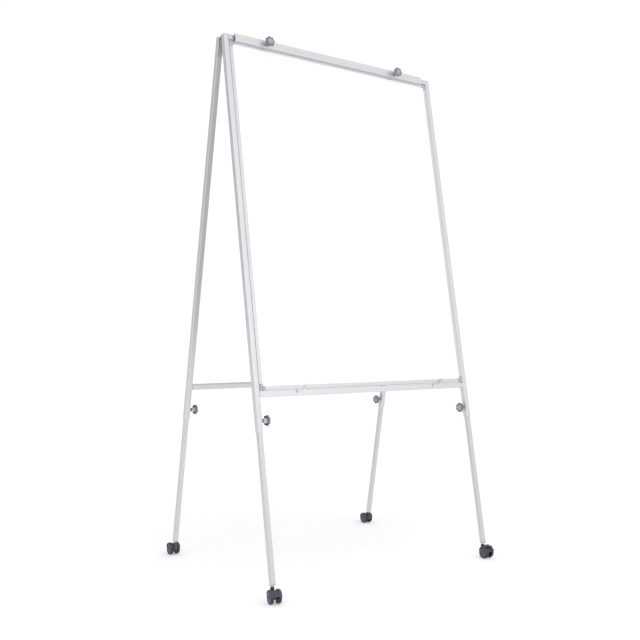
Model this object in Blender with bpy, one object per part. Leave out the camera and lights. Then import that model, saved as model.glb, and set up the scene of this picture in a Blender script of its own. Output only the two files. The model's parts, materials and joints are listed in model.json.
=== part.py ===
"""Mobile A-frame easel: a framed whiteboard with a paper clamp bar, two square-tube frames hinged at the top,
telescopic legs with star-knob screws, and twin-wheel castors.

Metres, +Z up, +X to the right of someone facing the board, the board faces -Y.
The origin lies on the floor, midway between the four feet.
"""

import math

import bmesh
import bpy
from mathutils import Matrix, Vector

# ------------------------------------------------------------------ driving dimensions
WIDTH = 0.945          # over the outer faces of the legs
TOP_S = 1.883          # top of the legs, measured along the leaning frame from the floor
LEAN = math.radians(10.15)
FOOT_Y = 0.3569        # outer face of a leg where its line meets the floor

TUBE = 0.019           # outer square tube
WALL = 0.0012
INNER = 0.016          # telescopic square tube
GAP = 0.0003           # clearance between touching pieces

BOARD_W = 0.905        # over the aluminium trim
BOARD_H = 1.205
TRIM_W = 0.0125
TRIM_T = 0.0132
TRIM_WALL = 0.0013
CORNER = 0.021         # leg length of a corner cover
RAIL_S = 0.6351        # underside of the front bottom rail
REAR_RAIL_S = 0.6300   # underside of the rear cross rail

CLAMP_X = (-0.4335, 0.4215)
CLAMP_H = 0.027
CLAMP_T = 0.011
CLAMP_WALL = 0.0015
CLAMP_TOP = TOP_S + 0.0015
CLAMP_KNOB_X = {-1: -0.3065, 1: 0.2815}

OUTER_END_F = 0.5240   # lower end of the front outer tubes
OUTER_END_R = 0.5180
KNOB_ABOVE_END = 0.036
REAR_DROP = OUTER_END_F - OUTER_END_R

KNOB_R = 0.0182
KNOB_LOBES = 7
KNOB_T = 0.0078        # thickness of the star
KNOB_H = 0.0255        # whole height of the moulding
NECK_R = 0.0063
NECK_L = 0.0068        # straight part of the neck, then a cone up to the star
CONE_R = 0.0126
STUD_R = 0.0029

LEG_END_Z = 0.0535     # centre of the lower end of a telescopic tube
INSERTED = 0.1300      # telescopic tube held inside the outer tube

WHEEL_R = 0.0205
WHEEL_IN = 0.0073
WHEEL_OUT = 0.0185
HOOD_IN = 0.0216
HOOD_OUT = 0.0234
TRAIL = 0.0190
BOSS_Z = 0.0470

HINGE_Z = 1.8295
CLIP_X = {-1: -0.3095, 1: 0.2980}

C, S = math.cos(LEAN), math.sin(LEAN)
LEG_X = WIDTH / 2 - TUBE / 2
INNER_FACE_X = WIDTH / 2 - TUBE

# ------------------------------------------------------------------ clean scene
for old in list(bpy.data.objects):
    bpy.data.objects.remove(old, do_unlink=True)


# ------------------------------------------------------------------ frames of reference
def front(x, s, n):
    """Point in the leaning front frame: s up along the legs, n out of the board's face."""
    return Vector((x, -FOOT_Y + s * S - n * C, s * C + n * S))


def rear(x, s, n):
    """Point in the leaning rear frame: s up along the legs, n towards the front."""
    return Vector((x, FOOT_Y - TUBE / C - s * S - n * C, s * C - n * S))


FRONT = Matrix(((1, 0, 0, 0), (0, S, -C, -FOOT_Y), (0, C, S, 0), (0, 0, 0, 1)))
REAR = Matrix(((1, 0, 0, 0), (0, -S, -C, FOOT_Y - TUBE / C), (0, C, -S, 0), (0, 0, 0, 1)))


# ------------------------------------------------------------------ materials
def material(name, colour, metallic, roughness):
    m = bpy.data.materials.new(name)
    m.use_nodes = True
    b = m.node_tree.nodes["Principled BSDF"]
    b.inputs["Base Color"].default_value = (*colour, 1)
    b.inputs["Metallic"].default_value = metallic
    b.inputs["Roughness"].default_value = roughness
    return m


MAT = {
    "aluminium": material("anodised_aluminium", (0.80, 0.80, 0.82), 0.9, 0.38),
    "trim": material("trim_aluminium", (0.74, 0.74, 0.77), 0.9, 0.42),
    "face": material("white_enamel_steel", (0.93, 0.93, 0.93), 0.0, 0.18),
    "core": material("fibreboard", (0.55, 0.42, 0.28), 0.0, 0.80),
    "back": material("galvanised_sheet", (0.60, 0.62, 0.64), 0.9, 0.45),
    "grey": material("grey_plastic", (0.33, 0.33, 0.36), 0.0, 0.45),
    "knob": material("knob_plastic", (0.20, 0.20, 0.23), 0.0, 0.50),
    "black": material("castor_nylon", (0.055, 0.055, 0.065), 0.0, 0.42),
    "tread": material("castor_wheel", (0.045, 0.045, 0.052), 0.0, 0.50),
    "steel": material("zinc_steel", (0.70, 0.70, 0.70), 1.0, 0.30),
    "plug": material("plug_plastic", (0.70, 0.70, 0.72), 0.0, 0.50),
}


# ------------------------------------------------------------------ mesh helpers
def make(name, bm, mat, matrix=Matrix.Identity(4), smooth=None):
    bmesh.ops.remove_doubles(bm, verts=bm.verts, dist=1e-7)
    bmesh.ops.recalc_face_normals(bm, faces=bm.faces)
    me = bpy.data.meshes.new(name)
    bm.to_mesh(me)
    bm.free()
    ob = bpy.data.objects.new(name, me)
    bpy.context.scene.collection.objects.link(ob)
    ob.matrix_world = matrix
    if mat:
        me.materials.append(MAT[mat])
    if smooth:
        me.shade_smooth()
        me.set_sharp_from_angle(angle=math.radians(smooth))
    return ob


def box(bm, lo, hi):
    """Axis-aligned block between two corners."""
    c = [(a + b) / 2 for a, b in zip(lo, hi)]
    d = [b - a for a, b in zip(lo, hi)]
    bmesh.ops.create_cube(bm, size=1.0, matrix=Matrix.Translation(c) @ Matrix.Diagonal((*d, 1)))
    return bm


def block(name, lo, hi, mat, matrix=Matrix.Identity(4), bevel=0.0):
    bm = box(bmesh.new(), lo, hi)
    if bevel:
        bmesh.ops.bevel(bm, geom=bm.edges[:], offset=bevel, segments=1, affect="EDGES", profile=0.5)
    return make(name, bm, mat, matrix)


def prism(bm, outline, lo, hi, axis="z"):
    """Closed outline swept along one axis. The outline's two coordinates are the other two axes, in order."""
    def at(p, h):
        return {"x": (h, p[0], p[1]), "y": (p[0], h, p[1]), "z": (p[0], p[1], h)}[axis]

    a = [bm.verts.new(at(p, lo)) for p in outline]
    b = [bm.verts.new(at(p, hi)) for p in outline]
    bm.faces.new(a)
    bm.faces.new(b)
    for i in range(len(outline)):
        j = (i + 1) % len(outline)
        bm.faces.new((a[i], a[j], b[j], b[i]))
    return bm


def turned(bm, profile, count, axis="x", bore=False):
    """Solid of revolution from (radius, position) pairs along an axis. With bore, the profile closes on itself."""
    def at(r, h, k):
        t = 2 * math.pi * k / count
        u, v = r * math.cos(t), r * math.sin(t)
        return {"x": (h, u, v), "y": (u, h, v), "z": (u, v, h)}[axis]

    rings = [[bm.verts.new(at(r, h, k)) for k in range(count)] for r, h in profile]
    pairs = list(zip(rings, rings[1:]))
    if bore:
        pairs.append((rings[-1], rings[0]))
    else:
        bm.faces.new(rings[0])
        bm.faces.new(rings[-1])
    for a, b in pairs:
        for i in range(count):
            j = (i + 1) % count
            bm.faces.new((a[i], a[j], b[j], b[i]))
    return bm


def disc(r, count, centre=(0.0, 0.0)):
    return [(centre[0] + r * math.cos(2 * math.pi * k / count), centre[1] + r * math.sin(2 * math.pi * k / count)) for k in range(count)]


def combine(target, tool, operation):
    """Boolean of two objects, kept in the first."""
    m = target.modifiers.new("boolean", "BOOLEAN")
    m.operation = operation
    m.solver = "EXACT"
    m.object = tool
    bpy.context.view_layer.update()
    evaluated = target.evaluated_get(bpy.context.evaluated_depsgraph_get())
    me = bpy.data.meshes.new_from_object(evaluated)
    target.modifiers.clear()
    target.data = me
    bpy.data.objects.remove(tool, do_unlink=True)
    return target


def cut(target, tool):
    return combine(target, tool, "DIFFERENCE")


def weld(target, tool):
    return combine(target, tool, "UNION")


def rounded_square(side, radius, steps=2):
    h = side / 2 - radius
    return [
        (sx * h + radius * math.cos(a), sy * h + radius * math.sin(a))
        for sx, sy, a0 in ((1, 1, 0), (-1, 1, 90), (-1, -1, 180), (1, -1, 270))
        for a in (math.radians(a0 + 90 * k / steps) for k in range(steps + 1))
    ]


def tube_mesh(bm, side, wall, lo, hi, axis="y"):
    """Square tube with rounded outer edges and a square bore."""
    outer = rounded_square(side, 0.0014)
    inner = rounded_square(side - 2 * wall, 0.0005)

    def at(p, h):
        return {"x": (h, p[0], p[1]), "y": (p[0], h, p[1])}[axis]

    rings = [[bm.verts.new(at(p, h)) for p in loop] for loop in (outer, inner) for h in (lo, hi)]
    oa, ob_, ia, ib = rings
    n = len(outer)
    for i in range(n):
        j = (i + 1) % n
        bm.faces.new((oa[i], oa[j], ob_[j], ob_[i]))
        bm.faces.new((ia[j], ia[i], ib[i], ib[j]))
        bm.faces.new((oa[j], oa[i], ia[i], ia[j]))
        bm.faces.new((ob_[i], ob_[j], ib[j], ib[i]))
    return bm


def move(bm, dx=0.0, dy=0.0, dz=0.0):
    bmesh.ops.translate(bm, verts=bm.verts, vec=(dx, dy, dz))
    return bm


# ------------------------------------------------------------------ legs and rails
CAP_T = 0.0022
LEG_LEN = TOP_S - CAP_T - GAP - OUTER_END_F


def outer_leg(name, frame, side, drop):
    """Outer leg tube with a pressed-in threaded insert for the clamping screw on its inner face."""
    lo = OUTER_END_F - drop
    bm = tube_mesh(bmesh.new(), TUBE, WALL, lo, lo + LEG_LEN)
    ob = make(name, move(bm, side * LEG_X, 0, -TUBE / 2), "aluminium", frame, smooth=30)
    x0 = side * INNER_FACE_X
    boss = make("boss", move(turned(bmesh.new(), [(0.0058, -side * 0.0014), (0.0058, side * 0.0006)], 16), x0, lo + KNOB_ABOVE_END, -TUBE / 2), None, frame)
    weld(ob, boss)
    hole = make("hole", move(turned(bmesh.new(), [(0.0032, -side * 0.004), (0.0032, side * 0.004)], 14), x0, lo + KNOB_ABOVE_END, -TUBE / 2), None, frame)
    return cut(ob, hole)


def leg_cap(name, frame, side, drop):
    """Moulded cap that plugs the top of a leg."""
    top = TOP_S - drop
    bm = bmesh.new()
    h, b = TUBE / 2, 0.0009
    loops = [
        (TUBE / 2 - WALL - GAP, top - 0.016),
        (TUBE / 2 - WALL - GAP, top - CAP_T),
        (h, top - CAP_T),
        (h, top - b),
        (h - b, top),
    ]
    rings = [[bm.verts.new((sx * r, y, sy * r)) for sx, sy in ((1, 1), (-1, 1), (-1, -1), (1, -1))] for r, y in loops]
    bm.faces.new(rings[0])
    bm.faces.new(rings[-1])
    for p, q in zip(rings, rings[1:]):
        for i in range(4):
            j = (i + 1) % 4
            bm.faces.new((p[i], p[j], q[j], q[i]))
    return make(name, move(bm, side * LEG_X, 0, -TUBE / 2), "plug", frame)


RAIL_HALF = INNER_FACE_X - GAP


def rail(name, frame, s):
    bm = tube_mesh(bmesh.new(), TUBE, WALL, -RAIL_HALF, RAIL_HALF, axis="x")
    return make(name, move(bm, 0, s + TUBE / 2, -TUBE / 2), "aluminium", frame, smooth=30)


for side, word in ((-1, "left"), (1, "right")):
    outer_leg(f"front_leg_tube_{word}", FRONT, side, 0.0)
    outer_leg(f"rear_leg_tube_{word}", REAR, side, REAR_DROP)
    leg_cap(f"front_leg_cap_{word}", FRONT, side, 0.0)
    leg_cap(f"rear_leg_cap_{word}", REAR, side, REAR_DROP)

top_rail = rail("front_top_rail", FRONT, TOP_S - TUBE)
bottom_rail = rail("front_bottom_rail", FRONT, RAIL_S)
rail("rear_cross_rail", REAR, REAR_RAIL_S)

CLAMP_MID = CLAMP_TOP - CLAMP_H / 2
for side in (-1, 1):
    x = CLAMP_KNOB_X[side]
    insert = make("insert", move(turned(bmesh.new(), [(0.0050, -0.0040), (0.0050, -0.0006)], 14, axis="z"), x, CLAMP_MID, 0), None, FRONT)
    weld(top_rail, insert)
    cut(top_rail, make("hole", move(turned(bmesh.new(), [(0.0032, -0.006), (0.0032, 0.002)], 14, axis="z"), x, CLAMP_MID, 0), None, FRONT))
    cut(bottom_rail, make("hole", move(turned(bmesh.new(), [(0.0020, -0.006), (0.0020, 0.002)], 12, axis="z"), CLIP_X[side], RAIL_S + TUBE - 0.0052, 0), None, FRONT))

# ------------------------------------------------------------------ whiteboard
BOARD_LO = RAIL_S + TUBE + (TOP_S - TUBE - RAIL_S - TUBE - BOARD_H) / 2
BOARD_HI = BOARD_LO + BOARD_H
TRIM_N = -0.0005
SLOT_HI = TRIM_N - TRIM_WALL
SLOT_LO = TRIM_N - TRIM_T + TRIM_WALL
PANEL_X = BOARD_W / 2 - TRIM_WALL - GAP
PANEL_LO = BOARD_LO + TRIM_WALL + GAP
PANEL_HI = BOARD_HI - TRIM_WALL - GAP
SKIN = 0.0005
n1 = SLOT_HI - GAP
n2 = SLOT_LO + GAP
block("board_face_sheet", (-PANEL_X, PANEL_LO, n1 - SKIN), (PANEL_X, PANEL_HI, n1), "face", FRONT)
block("board_core", (-PANEL_X, PANEL_LO, n2 + SKIN + GAP), (PANEL_X, PANEL_HI, n1 - SKIN - GAP), "core", FRONT)
block("board_back_sheet", (-PANEL_X, PANEL_LO, n2), (PANEL_X, PANEL_HI, n2 + SKIN), "back", FRONT)


def channel(width, depth, wall):
    """U section: open side at +u. Pairs are (u, n), n measured back from the front face."""
    return [(0, 0), (width, 0), (width, -wall), (wall, -wall), (wall, -depth + wall), (width, -depth + wall), (width, -depth), (0, -depth)]


def trim(name, horizontal, at, sign, lo, hi):
    """Aluminium channel along one edge of the board; at is the outer edge, sign points into the board."""
    bm = bmesh.new()
    outline = [(at + sign * u, TRIM_N + n) for u, n in channel(TRIM_W, TRIM_T, TRIM_WALL)]
    if horizontal:
        prism(bm, outline, lo, hi, axis="x")
    else:
        prism(bm, outline, lo, hi, axis="y")
    return make(name, bm, "trim", FRONT)


HX = BOARD_W / 2
trim("board_trim_top", True, BOARD_HI, -1, -HX + CORNER + GAP, HX - CORNER - GAP)
trim("board_trim_bottom", True, BOARD_LO, 1, -HX + CORNER + GAP, HX - CORNER - GAP)
trim("board_trim_left", False, -HX, 1, BOARD_LO + CORNER + GAP, BOARD_HI - CORNER - GAP)
trim("board_trim_right", False, HX, -1, BOARD_LO + CORNER + GAP, BOARD_HI - CORNER - GAP)


def corner(name, sx, sy):
    """L-shaped moulded cover that joins two trims and grips the board's corner."""
    arm, fillet, round_ = TRIM_W + 0.0004, 0.0035, 0.0030
    pts = [(round_ - round_ * math.cos(t), round_ - round_ * math.sin(t)) for t in (math.radians(90 * k / 3) for k in range(4))]
    pts += [(CORNER, 0), (CORNER, arm)]
    pts += [(arm + fillet - fillet * math.sin(t), arm + fillet - fillet * math.cos(t)) for t in (math.radians(90 * k / 3) for k in range(4))]
    pts += [(arm, CORNER), (0, CORNER)]
    ox, oy = sx * HX, BOARD_HI if sy > 0 else BOARD_LO
    outline = [(ox - sx * u, oy - sy * v) for u, v in pts]
    ob = make(name, prism(bmesh.new(), outline, TRIM_N - TRIM_T - 0.0004, TRIM_N + 0.0004), "grey", FRONT)
    lo = (min(ox - sx * TRIM_WALL, ox - sx * 0.05), min(oy - sy * TRIM_WALL, oy - sy * 0.05), SLOT_LO)
    hi = (max(ox - sx * TRIM_WALL, ox - sx * 0.05), max(oy - sy * TRIM_WALL, oy - sy * 0.05), SLOT_HI)
    return cut(ob, block("slot", lo, hi, None, FRONT))


for sx, a in ((-1, "left"), (1, "right")):
    for sy, b in ((1, "top"), (-1, "bottom")):
        corner(f"board_corner_{b}_{a}", sx, sy)


# ------------------------------------------------------------------ turn clips on the bottom rail
def turn_clip(word, x):
    """Cranked steel arm turning on a screw: it reaches over the trim and keeps the board in the frame."""
    edge = RAIL_S + TUBE
    pivot = edge - 0.0052
    ring = [(x + 0.0045 * math.cos(t), pivot + 0.0045 * math.sin(t)) for t in (math.radians(a) for a in range(95, 336, 20))]
    arm = [
        (0.0085, -0.0010), (0.0285, -0.0010), (0.0350, 0.0070), (0.0515, 0.0070), (0.0515, 0.0152), (0.0360, 0.0152),
        (0.0335, 0.0124), (0.0265, 0.0029), (0.0040, 0.0029),
    ]
    outline = ring + [(x + u, edge + v) for u, v in arm]
    ob = make(f"board_turn_clip_{word}", prism(bmesh.new(), outline, 0.0004, 0.0019), "steel", FRONT)
    cut(ob, make("hole", move(turned(bmesh.new(), [(0.0022, -0.002), (0.0022, 0.004)], 12, axis="z"), x, pivot, 0), None, FRONT))
    screw = [(0.0018, -0.0080), (0.0018, 0.0022), (0.0036, 0.0022), (0.0036, 0.0030), (0.0026, 0.0040), (0.0012, 0.0043)]
    make(f"turn_clip_screw_{word}", move(turned(bmesh.new(), screw, 12, axis="z"), x, pivot, 0), "steel", FRONT, smooth=40)


turn_clip("left", CLIP_X[-1])
turn_clip("right", CLIP_X[1])


# ------------------------------------------------------------------ star knobs
def star_knob(bm, stud_from, neck_from):
    """Seven-lobed knob with a moulded neck and a screwed stud, along +z. Positions are measured along its axis."""
    per = 4
    count = KNOB_LOBES * per

    def lobed(r, depth, h):
        ring = []
        for k in range(count):
            t = 2 * math.pi * k / count
            q = r - depth * (0.5 - 0.5 * math.cos(KNOB_LOBES * t)) ** 1.0
            ring.append(bm.verts.new((q * math.cos(t), q * math.sin(t), h)))
        return ring

    front_face = neck_from + KNOB_H - 0.0004
    back = front_face - KNOB_T
    rings = [
        lobed(STUD_R, 0, stud_from), lobed(STUD_R, 0, neck_from),
        lobed(NECK_R, 0, neck_from), lobed(NECK_R, 0, neck_from + NECK_L), lobed(0.0090, 0.0, (neck_from + NECK_L + back) / 2),
        lobed(CONE_R, 0.0006, back - 0.0004), lobed(KNOB_R - 0.0008, 0.0030, back), lobed(KNOB_R, 0.0032, back + 0.0012),
        lobed(KNOB_R, 0.0032, front_face - 0.0016), lobed(KNOB_R - 0.0014, 0.0030, front_face),
        lobed(0.0105, 0.0, front_face + 0.0004),
    ]
    bm.faces.new(rings[0])
    bm.faces.new(rings[-1])
    for a, b in zip(rings, rings[1:]):
        for i in range(count):
            j = (i + 1) % count
            bm.faces.new((a[i], a[j], b[j], b[i]))
    return bm


def along(direction, origin):
    """Placement whose +z points along a direction."""
    z = Vector(direction).normalized()
    x = Vector((0, 0, 1)).cross(z)
    if x.length < 0.2:
        x = Vector((1, 0, 0))
    x.normalize()
    y = z.cross(x)
    m = Matrix((x, y, z)).transposed().to_4x4()
    m.translation = Vector(origin)
    return m


NORMAL = Vector((0, -C, S))
# paper clamp: a channel that the two knobs draw against the top rail
bm = bmesh.new()
back_n, front_n = GAP, CLAMP_T
lo_s, hi_s = CLAMP_TOP - CLAMP_H, CLAMP_TOP
w = CLAMP_WALL
section = [
    (lo_s, back_n), (lo_s, front_n - 0.0012), (lo_s + 0.0012, front_n), (hi_s - 0.0012, front_n), (hi_s, front_n - 0.0012), (hi_s, back_n),
    (hi_s - w, back_n), (hi_s - w, front_n - w), (lo_s + w, front_n - w), (lo_s + w, back_n),
]
prism(bm, section, *CLAMP_X, axis="x")
clamp = make("paper_clamp_bar", bm, "aluminium", FRONT)
for side, word in ((-1, "left"), (1, "right")):
    x = CLAMP_KNOB_X[side]
    cut(clamp, make("hole", move(turned(bmesh.new(), [(0.0034, 0.004), (0.0034, 0.016)], 14, axis="z"), x, CLAMP_MID, 0), None, FRONT))
    knob = star_knob(bmesh.new(), -CLAMP_T - 0.0125, GAP)
    make(f"clamp_knob_{word}", knob, "knob", along(NORMAL, front(x, CLAMP_MID, CLAMP_T)), smooth=35)

for side, word in ((-1, "left"), (1, "right")):
    for frame_word, place, lo in (("front", front, OUTER_END_F), ("rear", rear, OUTER_END_R)):
        at = place(side * INNER_FACE_X, lo + KNOB_ABOVE_END, -TUBE / 2)
        tip = -(WALL + (TUBE - 2 * WALL - INNER) / 2 - GAP)
        knob = star_knob(bmesh.new(), tip, 0.0018)
        make(f"{frame_word}_leg_knob_{word}", knob, "knob", along((-side, 0, 0), at), smooth=35)


# ------------------------------------------------------------------ top hinges
def hinge(side, word):
    """Butt hinge between a front and a rear leg, with stop lugs above its pin that set the opening angle."""
    x = side * LEG_X
    half, knuckle, bore = 0.0081, 0.0041, 0.0020
    plate = 0.0018

    def leaf(name, frame, drop, sign):
        s_axis = HINGE_Z / C
        n_face = -TUBE - GAP if sign < 0 else GAP
        n_other = n_face - plate if sign < 0 else n_face + plate
        top = TOP_S - drop - 0.0030
        ob = block(name, (x - half, s_axis - 0.046, min(n_face, n_other)), (x + half, top, max(n_face, n_other)), "steel", frame)
        if sign < 0:
            spans = ((x - half, x - 0.0029), (x + 0.0029, x + half))
        else:
            spans = ((x - 0.0026, x + 0.0026),)
        # distance from the pin's axis to the plate's inner face
        reach = (FOOT_Y - TUBE / C - HINGE_Z * S / C) - 0.0010
        for a, b in spans:
            barrel = bmesh.new()
            prism(barrel, disc(knuckle, 14, (0.0, HINGE_Z)), a, b, axis="x")
            weld(ob, make("barrel", barrel, None))
            web = bmesh.new()
            box(web, (a, min(0, sign * reach), HINGE_Z - 0.0020), (b, max(0, sign * reach), HINGE_Z + 0.0020))
            weld(ob, make("web", web, None))
        lug_z = HINGE_Z + 0.0155
        lug_reach = (FOOT_Y - TUBE / C - lug_z * S / C) - 0.0009
        weld(ob, block("lug", (x - half, min(sign * 0.00015, sign * lug_reach), lug_z - 0.0050), (x + half, max(sign * 0.00015, sign * lug_reach), lug_z + 0.0030), None))
        for a, b in spans:
            drill = bmesh.new()
            prism(drill, disc(bore, 14, (0.0, HINGE_Z)), a - 0.002, b + 0.002, axis="x")
            cut(ob, make("drill", drill, None))
        for ds in (0.014, 0.036):
            rivet = turned(bmesh.new(), [(0.0032, 0.0), (0.0028, 0.0009)], 10, axis="z")
            base = n_other + (0.0002 if sign < 0 else -0.0002)
            if sign < 0:
                bmesh.ops.scale(rivet, vec=(1, 1, -1), verts=rivet.verts)
            weld(ob, make("rivet", move(rivet, x, s_axis - ds, base), None, frame))
        return ob

    leaf(f"hinge_front_leaf_{word}", FRONT, 0.0, -1)
    leaf(f"hinge_rear_leaf_{word}", REAR, REAR_DROP, 1)
    pin = [(0.0030, -half - 0.0013), (0.0030, -half - GAP), (0.0019, -half - GAP), (0.0019, half + GAP), (0.0030, half + GAP), (0.0026, half + 0.0013)]
    make(f"hinge_pin_{word}", move(turned(bmesh.new(), pin, 14), x, 0, HINGE_Z), "steel", smooth=40)


hinge(-1, "left")
hinge(1, "right")


# ------------------------------------------------------------------ telescopic legs, plugs and castors
def castor_place(place, side):
    """Swivel axis: vertical, through the middle of the plug at the leg's end."""
    end_s = (LEG_END_Z - place(0, 0, -TUBE / 2).z) / C
    mid = place(side * LEG_X, end_s + 0.009, -TUBE / 2)
    return end_s, mid


def telescopic(frame, place, side, word, frame_word, outer_end):
    end_s, mid = castor_place(place, side)
    bm = tube_mesh(bmesh.new(), INNER, WALL, end_s, outer_end + INSERTED)
    make(f"{frame_word}_inner_leg_{word}", move(bm, side * LEG_X, 0, -TUBE / 2), "aluminium", frame, smooth=30)
    h = INNER / 2 - WALL - GAP
    flange = INNER / 2 - 0.0004
    body = bmesh.new()
    rings = [
        [body.verts.new((sx * r, y, sy * r)) for sx, sy in ((1, 1), (-1, 1), (-1, -1), (1, -1))]
        for r, y in ((flange - 0.0008, end_s - GAP - 0.0022), (flange, end_s - GAP - 0.0014), (flange, end_s - GAP), (h, end_s - GAP), (h, end_s + 0.0220))
    ]
    body.faces.new(rings[0])
    body.faces.new(rings[-1])
    for p, q in zip(rings, rings[1:]):
        for i in range(4):
            j = (i + 1) % 4
            body.faces.new((p[i], p[j], q[j], q[i]))
    plug = make(f"{frame_word}_leg_plug_{word}", move(body, side * LEG_X, 0, -TUBE / 2), "plug", frame)
    bore = turned(bmesh.new(), [(0.0031, BOSS_Z - 0.004), (0.0031, BOSS_Z + 0.0205)], 16, axis="z")
    cut(plug, make("bore", move(bore, mid.x, mid.y, 0), None))
    return mid


def sector(r_in, r_out, a0, a1, steps):
    arc = [math.radians(a0 + (a1 - a0) * k / steps) for k in range(steps + 1)]
    pts = [(r_out * math.cos(t), r_out * math.sin(t)) for t in arc]
    pts += [(r_in * math.cos(t), r_in * math.sin(t)) for t in reversed(arc)]
    return pts


def castor(frame_word, word, at, turn, brake=False):
    """Twin-wheel swivel castor. The wheels trail behind the stem; the stem, hood and axle make one housing."""
    base = Matrix.Translation((at.x, at.y, 0)) @ Matrix.Rotation(turn, 4, "Z")
    prefix = f"{frame_word}_castor"
    cy, cz = -TRAIL, WHEEL_R

    def shifted(pts):
        return [(cy + u, cz + v) for u, v in pts]

    hood = make(f"{prefix}_housing_{word}", prism(bmesh.new(), shifted(sector(HOOD_IN, HOOD_OUT, 20, 165, 10)), -0.0188, 0.0188, axis="x"), "black", base)
    web = shifted(sector(0.0001, HOOD_OUT - 0.0004, -12, 158, 9)[:10] + [(0.0085 * math.cos(t), 0.0085 * math.sin(t)) for t in (math.radians(a) for a in range(180, 345, 40))])
    weld(hood, make("web", prism(bmesh.new(), web, -0.0067, 0.0067, axis="x"), None, base))
    boss = [(0.0066, 0.0240), (0.0066, BOSS_Z - 0.0008), (0.0058, BOSS_Z), (0.0030, BOSS_Z), (0.0030, BOSS_Z + 0.0190), (0.0022, BOSS_Z + 0.0200)]
    weld(hood, make("boss", turned(bmesh.new(), boss, 16, axis="z"), None, base))
    axle = [(0.0038, -0.0196), (0.0042, -0.0190), (0.0042, -WHEEL_OUT - 0.0001), (0.0025, -WHEEL_OUT - 0.0001), (0.0025, WHEEL_OUT + 0.0001), (0.0042, WHEEL_OUT + 0.0001), (0.0042, 0.0190), (0.0038, 0.0196)]
    weld(hood, make("axle", move(turned(bmesh.new(), axle, 14), 0, cy, cz), None, base))
    wheel = [
        (0.0026, WHEEL_IN), (0.0190, WHEEL_IN), (WHEEL_R, WHEEL_IN + 0.0020),
        (WHEEL_R, WHEEL_OUT - 0.0026), (0.0188, WHEEL_OUT - 0.0002), (0.0150, WHEEL_OUT - 0.0012), (0.0026, WHEEL_OUT - 0.0006),
    ]
    for s, w_word in ((-1, "a"), (1, "b")):
        profile = [(r, s * h) for r, h in wheel]
        bm = turned(bmesh.new(), profile, 22, bore=True)
        make(f"{prefix}_wheel_{word}_{w_word}", bm, "tread", base @ Matrix.Translation((0, cy, cz)), smooth=35)
    if brake:
        ear_y, ear_z = cy + 0.0010, cz + HOOD_OUT + 0.0022
        for s in (-1, 1):
            ear = disc(0.0026, 14, (ear_y, ear_z))
            weld(hood, make("ear", prism(bmesh.new(), ear, min(s * 0.0094, s * 0.0116), max(s * 0.0094, s * 0.0116), axis="x"), None, base))
            foot = [(ear_y - 0.0026, cz + HOOD_OUT - 0.0014), (ear_y + 0.0026, cz + HOOD_OUT - 0.0014), (ear_y + 0.0026, ear_z), (ear_y - 0.0026, ear_z)]
            weld(hood, make("foot", prism(bmesh.new(), foot, min(s * 0.0094, s * 0.0116), max(s * 0.0094, s * 0.0116), axis="x"), None, base))
        cut(hood, make("hole", prism(bmesh.new(), disc(0.0014, 14, (ear_y, ear_z)), -0.013, 0.013, axis="x"), None, base))
        side = [
            (0.0050, 0.0008), (0.0034, 0.0019), (-0.0040, 0.0019), (-0.0130, 0.0012), (-0.0262, 0.0030), (-0.0262, 0.0010),
            (-0.0200, -0.0004), (-0.0125, -0.0013), (-0.0040, -0.0014), (0.0034, -0.0014), (0.0050, -0.0004),
        ]
        lever = make(f"{prefix}_brake_lever_{word}", prism(bmesh.new(), side, -0.0090, 0.0090, axis="x"), "black", base @ Matrix.Translation((0, ear_y, ear_z)))
        pin = make("pin", prism(bmesh.new(), disc(0.0012, 14, (0.0, 0.0)), -0.0116, 0.0116, axis="x"), None, base @ Matrix.Translation((0, ear_y, ear_z)))
        weld(lever, pin)


HEADING = {("front", "left"): math.radians(-12), ("front", "right"): 0.0, ("rear", "left"): math.pi, ("rear", "right"): math.pi}
for side, word in ((-1, "left"), (1, "right")):
    for frame_word, frame, place, lo in (("front", FRONT, front, OUTER_END_F), ("rear", REAR, rear, OUTER_END_R)):
        at = telescopic(frame, place, side, word, frame_word, lo)
        castor(frame_word, word, at, HEADING[frame_word, word], brake=(frame_word, word) == ("front", "right"))
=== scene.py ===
import json
import math

import bmesh
import bpy
from mathutils import Matrix, Vector


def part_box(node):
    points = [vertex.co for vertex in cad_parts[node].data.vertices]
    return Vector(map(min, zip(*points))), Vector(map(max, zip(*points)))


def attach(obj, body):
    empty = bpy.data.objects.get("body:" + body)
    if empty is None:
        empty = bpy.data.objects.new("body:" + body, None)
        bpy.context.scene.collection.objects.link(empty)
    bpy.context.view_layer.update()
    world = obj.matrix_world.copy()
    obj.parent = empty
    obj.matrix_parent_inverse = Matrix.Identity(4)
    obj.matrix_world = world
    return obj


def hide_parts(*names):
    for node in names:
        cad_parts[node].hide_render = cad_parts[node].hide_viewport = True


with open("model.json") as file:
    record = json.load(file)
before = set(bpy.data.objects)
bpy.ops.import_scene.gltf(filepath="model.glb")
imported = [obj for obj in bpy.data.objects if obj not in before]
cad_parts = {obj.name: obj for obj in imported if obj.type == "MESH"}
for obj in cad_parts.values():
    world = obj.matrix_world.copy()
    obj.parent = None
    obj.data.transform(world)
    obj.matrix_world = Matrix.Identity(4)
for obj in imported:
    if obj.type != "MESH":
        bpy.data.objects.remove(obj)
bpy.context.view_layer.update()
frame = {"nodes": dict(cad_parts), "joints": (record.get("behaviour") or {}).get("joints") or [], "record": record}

NODES = frame["nodes"]
JOINTS = {j["name"]: j for j in frame["joints"]}
BODY_OF = {n: b for b, members in frame["record"]["behaviour"]["bodies"].items() for n in members}
LEAN = math.radians(10.15)

scene = bpy.context.scene
scene.view_settings.view_transform = "Standard"
scene.view_settings.look = "None"


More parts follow.
